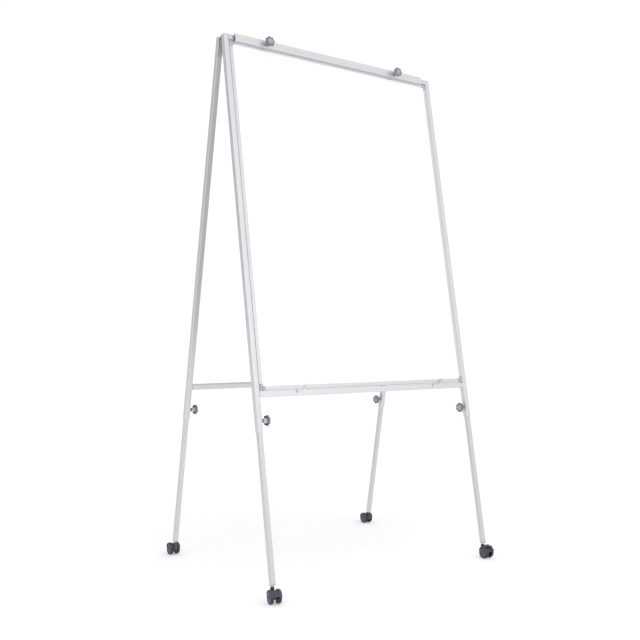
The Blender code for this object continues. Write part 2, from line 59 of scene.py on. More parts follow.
# ------------------------------------------------------------------ materials
class Graph:
    """Small helper around one material's node tree."""

    def __init__(self, name):
        self.m = bpy.data.materials.new(name)
        self.m.use_nodes = True
        self.t = self.m.node_tree
        self.bsdf = self.t.nodes["Principled BSDF"]

    def node(self, kind, **props):
        n = self.t.nodes.new(kind)
        for k, v in props.items():
            setattr(n, k, v)
        return n

    def link(self, a, b):
        self.t.links.new(a, b)

    def coords(self, rotation=(0, 0, 0), scale=(1, 1, 1)):
        tc = self.node("ShaderNodeTexCoord")
        mp = self.node("ShaderNodeMapping", vector_type="POINT")
        mp.inputs["Rotation"].default_value = rotation
        rot_out = mp.outputs["Vector"]
        self.link(tc.outputs["Object"], mp.inputs["Vector"])
        sc = self.node("ShaderNodeVectorMath", operation="MULTIPLY")
        sc.inputs[1].default_value = scale
        self.link(rot_out, sc.inputs[0])
        return sc.outputs["Vector"]

    def noise(self, vector, scale=1.0, detail=4.0, rough=0.55, distortion=0.0):
        n = self.node("ShaderNodeTexNoise")
        n.inputs["Scale"].default_value = scale
        n.inputs["Detail"].default_value = detail
        n.inputs["Roughness"].default_value = rough
        n.inputs["Distortion"].default_value = distortion
        self.link(vector, n.inputs["Vector"])
        return n.outputs["Fac"]

    def ramp(self, value, lo, hi, out_lo=0.0, out_hi=1.0):
        n = self.node("ShaderNodeMapRange")
        n.inputs["From Min"].default_value = lo
        n.inputs["From Max"].default_value = hi
        n.inputs["To Min"].default_value = out_lo
        n.inputs["To Max"].default_value = out_hi
        self.link(value, n.inputs["Value"])
        return n.outputs["Result"]

    def mix(self, fac, a, b, blend="MIX"):
        n = self.node("ShaderNodeMix", data_type="RGBA", blend_type=blend)
        if isinstance(fac, (int, float)):
            n.inputs["Factor"].default_value = fac
        else:
            self.link(fac, n.inputs["Factor"])
        for sock, v in (("A", a), ("B", b)):
            target = [i for i in n.inputs if i.name == sock and i.type == "RGBA"][0]
            if isinstance(v, tuple):
                target.default_value = (*v, 1)
            else:
                self.link(v, target)
        return [o for o in n.outputs if o.type == "RGBA"][0]

    def math(self, op, a, b):
        n = self.node("ShaderNodeMath", operation=op)
        for i, v in enumerate((a, b)):
            if isinstance(v, (int, float)):
                n.inputs[i].default_value = v
            else:
                self.link(v, n.inputs[i])
        return n.outputs[0]

    def bump(self, height, strength, distance, after=None):
        n = self.node("ShaderNodeBump")
        n.inputs["Strength"].default_value = strength
        n.inputs["Distance"].default_value = distance
        self.link(height, n.inputs["Height"])
        if after is not None:
            self.link(after, n.inputs["Normal"])
        return n.outputs["Normal"]

    def done(self, colour, roughness, normal=None, metallic=0.0, **sockets):
        self.link(colour, self.bsdf.inputs["Base Color"])
        self.link(roughness, self.bsdf.inputs["Roughness"])
        if normal is not None:
            self.link(normal, self.bsdf.inputs["Normal"])
        self.bsdf.inputs["Metallic"].default_value = metallic
        for k, v in sockets.items():
            self.bsdf.inputs[k.replace("_", " ")].default_value = v
        return self.m


def aluminium(name, rotation, tint=(0.735, 0.735, 0.755), dark=(0.645, 0.645, 0.672), metallic=0.60):
    """Satin anodised extrusion: drawing lines along the length, soft tone patches, a few rub marks."""
    g = Graph(name)
    lines = g.coords(rotation, (620, 620, 2.2))
    fine = g.noise(lines, 1.0, 3.0, 0.6)
    coarse = g.noise(g.coords(rotation, (150, 150, 0.9)), 1.0, 2.0, 0.5)
    patch = g.noise(g.coords(rotation, (9, 9, 3.2)), 1.0, 3.0, 0.6, 0.4)
    rub = g.noise(g.coords(rotation, (240, 240, 14)), 1.0, 2.0, 0.5, 0.6)
    streak = g.math("ADD", g.math("MULTIPLY", fine, 0.6), g.math("MULTIPLY", coarse, 0.4))
    tone = g.ramp(streak, 0.36, 0.64)
    colour = g.mix(tone, dark, tint)
    colour = g.mix(g.ramp(patch, 0.40, 0.68, 0.0, 0.35), colour, tuple(c * 0.93 for c in tint))
    colour = g.mix(g.ramp(rub, 0.70, 0.76, 0.0, 0.30), colour, (0.90, 0.90, 0.91))
    rough = g.math("ADD", g.ramp(streak, 0.35, 0.65, 0.36, 0.46), g.ramp(patch, 0.35, 0.7, -0.03, 0.06))
    normal = g.bump(streak, 0.12, 0.00015)
    normal = g.bump(g.noise(g.coords(rotation, (900, 900, 60)), 1.0, 2.0), 0.05, 0.0001, normal)
    return g.done(colour, rough, normal, metallic)


def moulded(name, dark, light, rough=(0.42, 0.58), grain=1900.0, grain_strength=0.16, edge=0.0):
    """Injection-moulded plastic: fine spark grain, slow tone drift, lighter rubbed scuffs scattered at random, and,
    when edge is set, a painted highlight lightening the convex edges.
    """
    g = Graph(name)
    v = g.coords()
    drift = g.noise(v, 38.0, 3.0, 0.55, 0.3)
    speck = g.noise(v, 700.0, 3.0, 0.6)
    spark = g.noise(v, grain, 2.0, 0.6)
    scuff = g.noise(g.coords((0.5, 0.3, 0.9), (90, 900, 300)), 1.0, 3.0, 0.55, 0.8)
    colour = g.mix(g.ramp(drift, 0.35, 0.65), dark, light)
    colour = g.mix(g.ramp(speck, 0.55, 0.75, 0.0, 0.22), colour, tuple(min(1.0, c * 1.25) for c in light))
    colour = g.mix(g.ramp(scuff, 0.66, 0.74, 0.0, 0.25), colour, tuple(min(1.0, c * 1.5 + 0.02) for c in light))
    # Painted highlight: with edge set, convex edges (high pointiness) are lightened towards a paler copy of the
    # plastic, by up to edge.
    if edge:
        geo = g.node("ShaderNodeNewGeometry")
        colour = g.mix(g.ramp(geo.outputs["Pointiness"], 0.52, 0.60, 0.0, edge), colour, tuple(min(1.0, c * 1.6 + 0.03) for c in light))
    r = g.math("ADD", g.ramp(spark, 0.3, 0.7, *rough), g.ramp(drift, 0.3, 0.7, -0.03, 0.03))
    normal = g.bump(spark, grain_strength, 0.00012)
    normal = g.bump(speck, 0.05, 0.0003, normal)
    return g.done(colour, r, normal)


def zinc(name, base=(0.66, 0.66, 0.65), low=(0.52, 0.52, 0.53)):
    """Bright zinc-plated steel with a faint yellow-blue passivation drift."""
    g = Graph(name)
    v = g.coords()
    drift = g.noise(v, 120.0, 4.0, 0.6, 0.5)
    hue = g.noise(v, 45.0, 2.0, 0.5)
    brush = g.noise(g.coords((0, 0, 0), (260, 2200, 2200)), 1.0, 3.0, 0.6)
    colour = g.mix(g.ramp(drift, 0.35, 0.68), low, base)
    colour = g.mix(g.ramp(hue, 0.42, 0.62, 0.0, 0.22), colour, (0.70, 0.68, 0.58))
    rough = g.ramp(brush, 0.3, 0.7, 0.22, 0.38)
    return g.done(colour, rough, g.bump(brush, 0.10, 0.0001), 1.0)


def enamel(name):
    """Dry-wipe enamelled steel: glossy white, faint wiped ghosting, tiny surface ripple."""
    g = Graph(name)
    ghost = g.noise(g.coords((LEAN, 0, 0), (2.3, 9.0, 4.4)), 1.0, 5.0, 0.62, 1.1)
    wipe = g.noise(g.coords((LEAN, 0.12, 0), (3.0, 60.0, 60.0)), 1.0, 3.0, 0.5, 0.5)
    fleck = g.noise(g.coords(), 260.0, 2.0, 0.5)
    colour = g.mix(g.ramp(ghost, 0.50, 0.74, 0.0, 0.50), (0.965, 0.967, 0.970), (0.945, 0.950, 0.957))
    colour = g.mix(g.ramp(wipe, 0.60, 0.78, 0.0, 0.16), colour, (0.94, 0.943, 0.95))
    colour = g.mix(g.ramp(fleck, 0.74, 0.80, 0.0, 0.20), colour, (0.86, 0.87, 0.88))
    rough = g.math("ADD", g.ramp(ghost, 0.35, 0.7, 0.20, 0.30), g.ramp(wipe, 0.4, 0.75, 0.0, 0.07))
    normal = g.bump(g.noise(g.coords(), 520.0, 2.0, 0.5), 0.02, 0.00015)
    return g.done(colour, rough, normal, 0.0, Coat_Weight=0.25, Coat_Roughness=0.08)


def mill_sheet(name):
    """Grey backing sheet with rolled grain and faint cloudy oxide."""
    g = Graph(name)
    roll = g.noise(g.coords((LEAN, 0, 0), (240, 240, 3.0)), 1.0, 3.0, 0.6)
    cloud = g.noise(g.coords(), 7.0, 5.0, 0.62, 0.6)
    v = g.node("ShaderNodeTexVoronoi", feature="F1")
    v.inputs["Scale"].default_value = 85.0
    g.link(g.coords(), v.inputs["Vector"])
    bw = g.node("ShaderNodeRGBToBW")
    g.link(v.outputs["Color"], bw.inputs["Color"])
    colour = g.mix(g.ramp(cloud, 0.30, 0.74), (0.555, 0.567, 0.58), (0.60, 0.612, 0.625))
    colour = g.mix(g.ramp(bw.outputs["Val"], 0.2, 0.8, 0.0, 0.16), colour, (0.66, 0.67, 0.68))
    rough = g.math("ADD", g.ramp(roll, 0.3, 0.7, 0.40, 0.52), g.ramp(bw.outputs["Val"], 0.2, 0.8, -0.05, 0.05))
    return g.done(colour, rough, g.bump(roll, 0.10, 0.0002), 0.65)


def fibreboard(name):
    g = Graph(name)
    fibre = g.noise(g.coords((0.3, 0.2, 0.1), (900, 500, 700)), 1.0, 4.0, 0.6)
    layer = g.noise(g.coords(), 30.0, 3.0)
    colour = g.mix(g.ramp(fibre, 0.35, 0.65), (0.42, 0.31, 0.20), (0.60, 0.47, 0.32))
    colour = g.mix(g.ramp(layer, 0.4, 0.7, 0.0, 0.3), colour, (0.50, 0.38, 0.26))
    return g.done(colour, g.ramp(fibre, 0.3, 0.7, 0.75, 0.92), g.bump(fibre, 0.3, 0.0004))


def tread(name):
    """Hard polyamide wheel: charcoal with dusty, rubbed running surface."""
    g = Graph(name)
    v = g.coords()
    dust = g.noise(v, 140.0, 5.0, 0.65, 0.5)
    fine = g.noise(v, 1500.0, 2.0, 0.6)
    colour = g.mix(g.ramp(dust, 0.42, 0.70), (0.014, 0.013, 0.022), (0.030, 0.028, 0.042))
    colour = g.mix(g.ramp(dust, 0.66, 0.80, 0.0, 0.35), colour, (0.10, 0.098, 0.115))
    rough = g.math("ADD", g.ramp(fine, 0.3, 0.7, 0.38, 0.50), g.ramp(dust, 0.4, 0.8, 0.0, 0.18))
    return g.done(colour, rough, g.bump(fine, 0.10, 0.0001))


M = {
    "alu_front": aluminium("alu_front_legs", (LEAN, 0, 0)),
    "alu_rear": aluminium("alu_rear_legs", (-LEAN, 0, 0)),
    "alu_cross": aluminium("alu_cross_rails", (0, math.radians(90), 0)),
    "alu_bar": aluminium("alu_clamp_bar", (0, math.radians(90), 0), (0.74, 0.74, 0.755), (0.67, 0.67, 0.69)),
    "alu_inner_f": aluminium("alu_inner_front", (LEAN, 0, 0), (0.69, 0.69, 0.72), (0.60, 0.60, 0.635)),
    "alu_inner_r": aluminium("alu_inner_rear", (-LEAN, 0, 0), (0.69, 0.69, 0.72), (0.60, 0.60, 0.635)),
    "trim_v": aluminium("alu_trim_upright", (LEAN, 0, 0), (0.71, 0.71, 0.735), (0.63, 0.63, 0.66)),
    "trim_h": aluminium("alu_trim_cross", (0, math.radians(90), 0), (0.71, 0.71, 0.735), (0.63, 0.63, 0.66)),
    "face": enamel("white_enamel"),
    "core": fibreboard("fibreboard_core"),
    "back": mill_sheet("mill_backing_sheet"),
    "grey": moulded("grey_corner_plastic", (0.385, 0.380, 0.415), (0.465, 0.460, 0.495)),
    "cap": moulded("pale_cap_plastic", (0.50, 0.50, 0.53), (0.60, 0.60, 0.63)),
    # edge= adds a painted highlight along the convex edges of the knob, castor hood and wheel hub plastics.
    "knob": moulded("knob_plastic", (0.165, 0.158, 0.192), (0.225, 0.216, 0.255), (0.34, 0.48), edge=0.35),
    "kface": moulded("knob_face_plastic", (0.345, 0.338, 0.375), (0.420, 0.412, 0.450), (0.34, 0.48)),
    # Painted shade: darker plastic, deepened to near-black, colours the knob's back recess and the groove round its
    # face to stand in for the shade inside them.
    "kdark": moulded("knob_hollow_plastic_painted_shade", (0.040, 0.037, 0.055), (0.062, 0.058, 0.080), (0.45, 0.60)),
    "cone": moulded("knob_cone_plastic", (0.50, 0.50, 0.54), (0.60, 0.60, 0.64), (0.30, 0.42)),
    "hood": moulded("castor_plastic", (0.040, 0.037, 0.058), (0.064, 0.059, 0.086), (0.30, 0.44), edge=0.45),
    "wheel": tread("castor_wheel_plastic"),
    "hub": moulded("wheel_hub_plastic", (0.052, 0.048, 0.072), (0.080, 0.074, 0.104), (0.30, 0.44), edge=0.45),
    "steel": zinc("zinc_steel"),
    "stud": zinc("zinc_stud", (0.58, 0.58, 0.58), (0.44, 0.44, 0.45)),
}


# ------------------------------------------------------------------ mesh helpers
def finish_piece(name, bm, mats, body, replaces=(), sharp=32.0, matrix=None):
    bmesh.ops.remove_doubles(bm, verts=bm.verts, dist=1e-7)
    bmesh.ops.recalc_face_normals(bm, faces=bm.faces)
    if matrix is not None:
        bmesh.ops.transform(bm, matrix=matrix, verts=bm.verts)
    me = bpy.data.meshes.new(name)
    bm.to_mesh(me)
    bm.free()
    for m in mats:
        me.materials.append(M[m])
    me.shade_smooth()
    me.set_sharp_from_angle(angle=math.radians(sharp))
    ob = bpy.data.objects.new(name, me)
    scene.collection.objects.link(ob)
    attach(ob, body)
    if replaces:
        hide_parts(*replaces)
    return ob


def lathe(bm, profile, count, matrix=Matrix.Identity(4), mat=0, closed=False, shape=None):
    """Rings about +z from (radius, height); shape(theta) scales the radius when given."""
    rings = []
    for i, (r, h) in enumerate(profile):
        ring = []
        for k in range(count):
            t = 2 * math.pi * k / count
            q = shape(i, t, r) if shape else r
            ring.append(bm.verts.new(matrix @ Vector((q * math.cos(t), q * math.sin(t), h))))
        rings.append(ring)
    faces = []
    pairs = list(zip(rings, rings[1:]))
    if closed:
        pairs.append((rings[-1], rings[0]))
    else:
        faces.append(bm.faces.new(rings[0]))
        faces.append(bm.faces.new(rings[-1]))
    for a, b in pairs:
        for i in range(count):
            j = (i + 1) % count
            faces.append(bm.faces.new((a[i], a[j], b[j], b[i])))
    for f in faces:
        f.material_index = mat
    return faces


def prism(bm, outline, lo, hi, matrix=Matrix.Identity(4), mat=0, bevel=0.0, segments=2):
    """Outline in the local xy plane, from z = lo to hi, with rounded rims."""
    part = bmesh.new()
    a = [part.verts.new((x, y, lo)) for x, y in outline]
    b = [part.verts.new((x, y, hi)) for x, y in outline]
    part.faces.new(a)
    part.faces.new(b)
    for i in range(len(outline)):
        j = (i + 1) % len(outline)
        part.faces.new((a[i], a[j], b[j], b[i]))
    bmesh.ops.recalc_face_normals(part, faces=part.faces)
    if bevel:
        rims = [e for e in part.edges if abs(e.verts[0].co.z - e.verts[1].co.z) < 1e-9]
        bmesh.ops.bevel(part, geom=rims, offset=bevel, segments=segments, affect="EDGES", profile=0.5, clamp_overlap=True)
    bmesh.ops.transform(part, matrix=matrix, verts=part.verts)
    merge(bm, part, mat)


def merge(bm, part, mat=0):
    part.verts.index_update()
    new = [bm.verts.new(v.co) for v in part.verts]
    for f in part.faces:
        nf = bm.faces.new([new[v.index] for v in f.verts])
        nf.material_index = mat
    part.free()


def axes(x, y, z, origin):
    m = Matrix((Vector(x), Vector(y), Vector(z))).transposed().to_4x4()
    m.translation = Vector(origin)
    return m


def toward(direction, origin):
    z = Vector(direction).normalized()
    x = Vector((0, 0, 1)).cross(z)
    if x.length < 0.2:
        x = Vector((1, 0, 0))
    x.normalize()
    return axes(x, z.cross(x), z, origin)


def softened(node, mat, width=0.0004, segments=2, angle=24.0, name=None):
    """A finished copy of a CAD node: same solid, with its hard edges rounded over."""
    src = NODES[node]
    bm = bmesh.new()
    bm.from_mesh(src.data)
    bmesh.ops.remove_doubles(bm, verts=bm.verts, dist=2e-6)
    bmesh.ops.recalc_face_normals(bm, faces=bm.faces)
    bmesh.ops.dissolve_limit(bm, angle_limit=math.radians(0.5), verts=bm.verts, edges=bm.edges)
    hard = [e for e in bm.edges if len(e.link_faces) == 2 and e.calc_face_angle(0.0) > math.radians(angle) and e.calc_length() > width * 1.2]
    if hard and width:
        bmesh.ops.bevel(bm, geom=hard, offset=width, segments=segments, affect="EDGES", profile=0.5, clamp_overlap=True)
    bmesh.ops.recalc_face_normals(bm, faces=bm.faces)
    for f in bm.faces:
        f.material_index = 0
        f.smooth = True
    me = bpy.data.meshes.new((name or node) + "_shape")
    bm.to_mesh(me)
    bm.free()
    me.materials.append(M[mat])
    me.shade_smooth()
    me.set_sharp_from_angle(angle=math.radians(34))
    ob = bpy.data.objects.new(name or node + "_finished", me)
    scene.collection.objects.link(ob)
    weighted = ob.modifiers.new("weighted", "WEIGHTED_NORMAL")
    weighted.keep_sharp = True
    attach(ob, BODY_OF[node])
    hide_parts(node)
    return ob


# ------------------------------------------------------------------ tubes, rails, trims, caps
def rounded_square(side, radius, steps):
    h = side / 2 - radius
    return [
        (sx * h + radius * math.cos(a), sy * h + radius * math.sin(a))
        for sx, sy, a0 in ((1, 1, 0), (-1, 1, 90), (-1, -1, 180), (1, -1, 270))
        for a in (math.radians(a0 + 90 * k / steps) for k in range(steps + 1))
    ]


def section_tube(node, mat, side, wall, start, end, across, sleeve=None, inner_r=0.0006):
    """Square tube between two points, with rounded corners, eased ends and an open bore."""
    z = (end - start).normalized()
    x = Vector(across).normalized()
    y = z.cross(x)
    m = axes(x, y, z, start)
    length = (end - start).length
    e = 0.00035
    bm = bmesh.new()
    steps = 5
    loops = [
        (rounded_square(side - 2 * wall, inner_r, steps), 0.0), (rounded_square(side - 2 * e, 0.0012, steps), 0.0), (rounded_square(side, 0.0015, steps), e),
        (rounded_square(side, 0.0015, steps), length - e), (rounded_square(side - 2 * e, 0.0012, steps), length), (rounded_square(side - 2 * wall, inner_r, steps), length),
    ]
    rings = [[bm.verts.new(m @ Vector((p[0], p[1], h))) for p in loop] for loop, h in loops]
    for a, b in zip(rings, rings[1:] + rings[:1]):
        for i in range(len(a)):
            j = (i + 1) % len(a)
            bm.faces.new((a[i], a[j], b[j], b[i]))
    if sleeve:
        centre, direction, r_in, r_out, height = sleeve
        lathe(bm, [(r_in, -0.0003), (r_out, -0.0003), (r_out, height - 0.0004), (r_out - 0.0004, height), (r_in + 0.0003, height), (r_in, height - 0.0003)], 32,
              toward(direction, centre), closed=True)
    return finish_piece(node + "_finished", bm, [mat], BODY_OF[node], [node], sharp=30)


TUBE, WALL, INNER = 0.019, 0.0012, 0.016
LX = 0.463
S_UP = {"front": Vector((0, math.sin(LEAN), math.cos(LEAN))), "rear": Vector((0, -math.sin(LEAN), math.cos(LEAN)))}


def tube_ends(node, frame_word, half):
    """Axis end points of a leaning tube, from its box: the end faces are square to the axis."""
    lo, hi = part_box(node)
    up = S_UP[frame_word]
    x = (lo.x + hi.x) / 2
    drop = half * abs(up.y)
    z0, z1 = lo.z + drop, hi.z - drop
    run = abs(up.z) * half
    if frame_word == "front":
        y0 = lo.y + run
    else:
        y0 = hi.y - run
    a = Vector((x, y0, z0))
    b = a + up * ((z1 - z0) / up.z)
    return a, b


for fw, amat, imat in (("front", "alu_front", "alu_inner_f"), ("rear", "alu_rear", "alu_inner_r")):
    for side, word in ((-1, "left"), (1, "right")):
        node = f"{fw}_leg_tube_{word}"
        a, b = tube_ends(node, fw, TUBE / 2)
        a.x = b.x = side * LX
        k = JOINTS[f"{fw}_leg_knob_{word}_turn"]
        section_tube(node, amat, TUBE, WALL, a, b, (1, 0, 0), (Vector(k["pos_m"]), Vector(k["axis"]), 0.0033, 0.0058, 0.0014))
        node = f"{fw}_inner_leg_{word}"
        a, b = tube_ends(node, fw, INNER / 2)
        a.x = b.x = side * LX
        section_tube(node, imat, INNER, WALL, a, b, (1, 0, 0))
        softened(f"{fw}_leg_cap_{word}", "cap", 0.0005, 3)
        softened(f"{fw}_leg_plug_{word}", "cap", 0.0004, 2)

softened("front_top_rail", "alu_cross", 0.0003, 2)
softened("front_bottom_rail", "alu_cross", 0.0003, 2)
softened("rear_cross_rail", "alu_cross", 0.0003, 2)
softened("paper_clamp_bar", "alu_bar", 0.0004, 2)
for n in ("left", "right"):
    softened(f"board_trim_{n}", "trim_v", 0.00035, 2)
for n in ("top", "bottom"):
    softened(f"board_trim_{n}", "trim_h", 0.00035, 2)
    for s in ("left", "right"):
        softened(f"board_corner_{n}_{s}", "grey", 0.0006, 3)
for s in ("left", "right"):
    for n in (f"hinge_front_leaf_{s}", f"hinge_rear_leaf_{s}", f"hinge_pin_{s}", f"turn_clip_screw_{s}", f"board_turn_clip_{s}"):
        softened(n, "steel", 0.00025, 2)

for n, m in (("board_face_sheet", "face"), ("board_core", "core"), ("board_back_sheet", "back")):
    NODES[n].data.materials.clear()
    NODES[n].data.materials.append(M[m])


# ------------------------------------------------------------------ star knobs
def star_knob(node, joint, stud_from, neck_from):
    j = JOINTS[joint]
    m = toward(j["axis"], j["pos_m"])
    bm = bmesh.new()
    pitch, r_out, r_in = 0.001, 0.00288, 0.00245
    prof = [(r_in - 0.0004, stud_from), (r_in, stud_from + 0.0003)]
    h = stud_from + 0.0003
    while h + pitch < neck_from + 0.001:
        prof += [(r_in, h + 0.00015), (r_out, h + 0.00045), (r_out, h + 0.00060), (r_in, h + 0.00090)]
        h += pitch
    prof.append((r_in, neck_from + 0.002))
    lathe(bm, prof, 28, m, mat=1)
    lobes, height, thick = 7, 0.0255, 0.0078
    face = neck_from + height - 0.0004
    back = face - thick
    top = neck_from + 0.0068

    def lobed(depth):
        def f(t):
            c = 0.5 - 0.5 * math.cos(lobes * t)
            return depth * c * (0.62 + 0.38 * c)
        return f

    # Material 4 (kdark) colours the back recess and the face groove near-black: darker plastic plus painted shade.
    table = [
        # radius, height, lobe depth, material
        (0.0034, neck_from, 0, 0), (0.0058, neck_from, 0, 0), (0.0062, neck_from + 0.0004, 0, 0), (0.0063, neck_from + 0.0014, 0, 0), (0.0063, top - 0.0008, 0, 0),
        (0.0066, top, 0, 2), (0.0076, top + 0.0030, 0, 2), (0.0086, top + 0.0066, 0, 2), (0.0092, back - 0.0010, 0, 2), (0.0095, back + 0.0020, 0, 4),
        (0.0097, face - 0.0032, 0, 4), (0.0102, face - 0.0026, 0, 4), (0.0134, face - 0.0026, 0, 4), (0.0138, face - 0.0030, 0.0002, 4), (0.0140, back + 0.0007, 0.0004, 4),
        (0.0143, back + 0.0001, 0.0006, 0), (0.0160, back, 0.0022, 0), (0.0174, back + 0.0002, 0.0031, 0), (0.0180, back + 0.0008, 0.0032, 0),
        (0.0182, back + 0.0018, 0.0032, 0), (0.0182, face - 0.0022, 0.0032, 0), (0.0180, face - 0.0012, 0.0032, 0), (0.0175, face - 0.0004, 0.0031, 0), (0.0166, face, 0.0029, 0),
        (0.0150, face + 0.0001, 0.0018, 0), (0.0126, face + 0.0002, 0.0, 0), (0.0121, face + 0.0001, 0, 4), (0.0118, face - 0.0006, 0, 4), (0.0115, face - 0.0007, 0, 3),
        (0.0112, face - 0.0004, 0, 3), (0.0107, face + 0.0002, 0, 3), (0.0060, face + 0.0004, 0, 3), (0.0024, face + 0.0004, 0, 3), (0.0019, face + 0.0001, 0, 3), (0.0004, face + 0.0001, 0, 3),
    ]
    faces = lathe(bm, [(row[0], row[1]) for row in table], 98, m, mat=0, shape=lambda i, t, r: r - lobed(table[i][2])(t))
    for i in range(len(table) - 1):
        for f in faces[2 + i * 98:2 + (i + 1) * 98]:
            f.material_index = table[i][3]
    faces[1].material_index = 3
    return finish_piece(node + "_finished", bm, ["knob", "stud", "cone", "kface", "kdark"], BODY_OF[node], [node], sharp=40)


for word in ("left", "right"):
    star_knob(f"clamp_knob_{word}", f"clamp_knob_{word}_turn", -0.0235, 0.0003)
    for fw in ("front", "rear"):
        star_knob(f"{fw}_leg_knob_{word}", f"{fw}_leg_knob_{word}_turn", -0.0012, 0.0018)


# ------------------------------------------------------------------ castors
WHEEL_R, HOOD_IN, HOOD_OUT = 0.0205, 0.0216, 0.0234


def castor(fw, word):
    swivel = JOINTS[f"{fw}_castor_{word}_swivel"]
    spin = JOINTS[f"{fw}_castor_{word}_wheel_b_spin"]
    x = Vector(spin["axis"]).normalized()
    centre = Vector(spin["pos_m"])
    stem = Vector((swivel["pos_m"][0], swivel["pos_m"][1], 0))
    y = Vector((0, 0, 1)).cross(x)
    boss_z = swivel["pos_m"][2]
    # hood, drawn in the plane across the axle: local x backwards over the wheels, local y up, local z along the axle
    side_plane = axes(y, (0, 0, 1), x, centre)
    node = f"{fw}_castor_housing_{word}"
    bm = bmesh.new()
    n_arc, n_w = 36, 28
    a0, a1 = math.radians(20.5), math.radians(164.5)
    half = 0.0187

    def fender(r_edge_drop, r_base, valley):
        grid = []
        for i in range(n_arc + 1):
            t = a0 + (a1 - a0) * i / n_arc
            row = []
            for k in range(n_w + 1):
                u = -1 + 2 * k / n_w
                w = half * u
                edge = max(0.0, (abs(u) - 0.70) / 0.30)
                dip = min(1.0, max(0.0, (0.50 - abs(u)) / 0.17))
                r = r_base - r_edge_drop * edge ** 2.2 - valley * dip * dip * (3 - 2 * dip)
                row.append(Vector((r * math.cos(t), r * math.sin(t), w)))
            grid.append(row)
        return grid

    outer, inner = fender(0.0013, HOOD_OUT - 0.0001, 0.0030), fender(0.0002, HOOD_IN + 0.0003, 0.0034)
    vo = [[bm.verts.new(side_plane @ p) for p in row] for row in outer]
    vi = [[bm.verts.new(side_plane @ p) for p in row] for row in inner]
    for i in range(n_arc):
        for k in range(n_w):
            bm.faces.new((vo[i][k], vo[i + 1][k], vo[i + 1][k + 1], vo[i][k + 1]))
            bm.faces.new((vi[i][k], vi[i][k + 1], vi[i + 1][k + 1], vi[i + 1][k]))
        for k, s in ((0, 1), (n_w, -1)):
            bm.faces.new((vo[i][k], vi[i][k], vi[i + 1][k], vo[i + 1][k]) if s > 0 else (vo[i][k], vo[i + 1][k], vi[i + 1][k], vi[i][k]))
    for i in (0, n_arc):
        for k in range(n_w):
            bm.faces.new((vo[i][k], vo[i][k + 1], vi[i][k + 1], vi[i][k]))
    # centre web between the wheels
    web = [(0.0196 * math.cos(math.radians(a)), 0.0196 * math.sin(math.radians(a))) for a in range(-10, 157, 6)]
    web += [(0.0082 * math.cos(math.radians(a)), 0.0082 * math.sin(math.radians(a))) for a in range(182, 342, 16)]
    prism(bm, web, -0.0065, 0.0065, side_plane, bevel=0.0007)
    # moulded ribs on the fender
    for s in (-1, 1):
        rib = [((HOOD_OUT + 0.0000) * math.cos(math.radians(a)), (HOOD_OUT + 0.0000) * math.sin(math.radians(a))) for a in range(60, 150, 6)]
        rib += [((HOOD_OUT - 0.0010) * math.cos(math.radians(a)), (HOOD_OUT - 0.0010) * math.sin(math.radians(a))) for a in range(144, 54, -6)]
        prism(bm, rib, s * 0.0128 - 0.0005, s * 0.0128 + 0.0005, side_plane)
    # boss with a bearing lip
    boss = [(0.0050, 0.0200), (0.0062, 0.0202), (0.0065, 0.0206), (0.0065, boss_z - 0.0062), (0.0066, boss_z - 0.0058), (0.0066, boss_z - 0.0012), (0.0063, boss_z - 0.0004), (0.0056, boss_z - 0.0001), (0.0032, boss_z - 0.0001)]
    m = Matrix.Translation(stem)
    lathe(bm, boss, 36, m)
    # bright stem with a collar
    pin = [(0.0029, boss_z - 0.0010), (0.0044, boss_z - 0.0006), (0.0044, boss_z + 0.0004), (0.0040, boss_z + 0.0009), (0.0030, boss_z + 0.0010), (0.00298, boss_z + 0.0188), (0.0022, boss_z + 0.0198)]
    lathe(bm, pin, 28, m, mat=1)
    # axle and its caps
    for s in (-1, 1):
        cap = [(0.0024, s * 0.0060), (0.0024, s * 0.0186), (0.0041, s * 0.0186), (0.0042, s * 0.0189), (0.0039, s * 0.0193), (0.0030, s * 0.01955), (0.0006, s * 0.0196)]
        lathe(bm, cap, 28, side_plane, mat=2)
    brake = (fw, word) == ("front", "right")
    if brake:
        lever = JOINTS["castor_brake_lever_tilt"]
        lp = Vector(lever["pos_m"])
        ear_plane = axes(y, (0, 0, 1), x, lp)
        for s in (-1, 1):
            ear = [(0.0026 * math.cos(math.radians(a)), 0.0026 * math.sin(math.radians(a))) for a in range(0, 181, 15)] + [(-0.0026, -0.0030), (0.0026, -0.0030)]
            part = bmesh.new()
            prism(part, ear, s * 0.0105 - 0.0010, s * 0.0105 + 0.0010, bevel=0.0003)
            bmesh.ops.transform(part, matrix=ear_plane, verts=part.verts)
            merge(bm, part)
    finish_piece(node + "_finished", bm, ["hood", "steel", "hub"], BODY_OF[node], [node], sharp=38)
    for s, ww in ((-1, "a"), (1, "b")):
        wnode = f"{fw}_castor_wheel_{word}_{ww}"
        bm = bmesh.new()
        lo, hi = 0.0074, 0.0184
        prof = [
            (0.0026, lo), (0.0070, lo), (0.0072, lo + 0.0010), (0.0168, lo + 0.0010), (0.0172, lo), (0.0190, lo), (0.0197, lo + 0.0004), (0.0202, lo + 0.0012), (0.02045, lo + 0.0024),
            (0.0205, lo + 0.0042), (0.0205, hi - 0.0042), (0.02045, hi - 0.0026), (0.0202, hi - 0.0014), (0.0197, hi - 0.0006), (0.0190, hi - 0.0002), (0.0184, hi - 0.0001),
        ]
        hub = [
            (0.0180, hi - 0.0002), (0.0177, hi - 0.0008), (0.0174, hi - 0.0009), (0.0160, hi - 0.0008), (0.0150, hi - 0.0009), (0.0110, hi - 0.0012), (0.0075, hi - 0.0009),
            (0.0070, hi - 0.0005), (0.0066, hi - 0.0003), (0.0054, hi - 0.0003), (0.0051, hi - 0.0007), (0.0026, hi - 0.0007),
        ]
        both = [(r, s * h) for r, h in prof + hub]
        faces = lathe(bm, both, 56, side_plane, mat=0, closed=True)
        per = 56
        for i in range(len(both)):
            if i >= len(prof):
                for f in faces[i * per:(i + 1) * per]:
                    f.material_index = 1
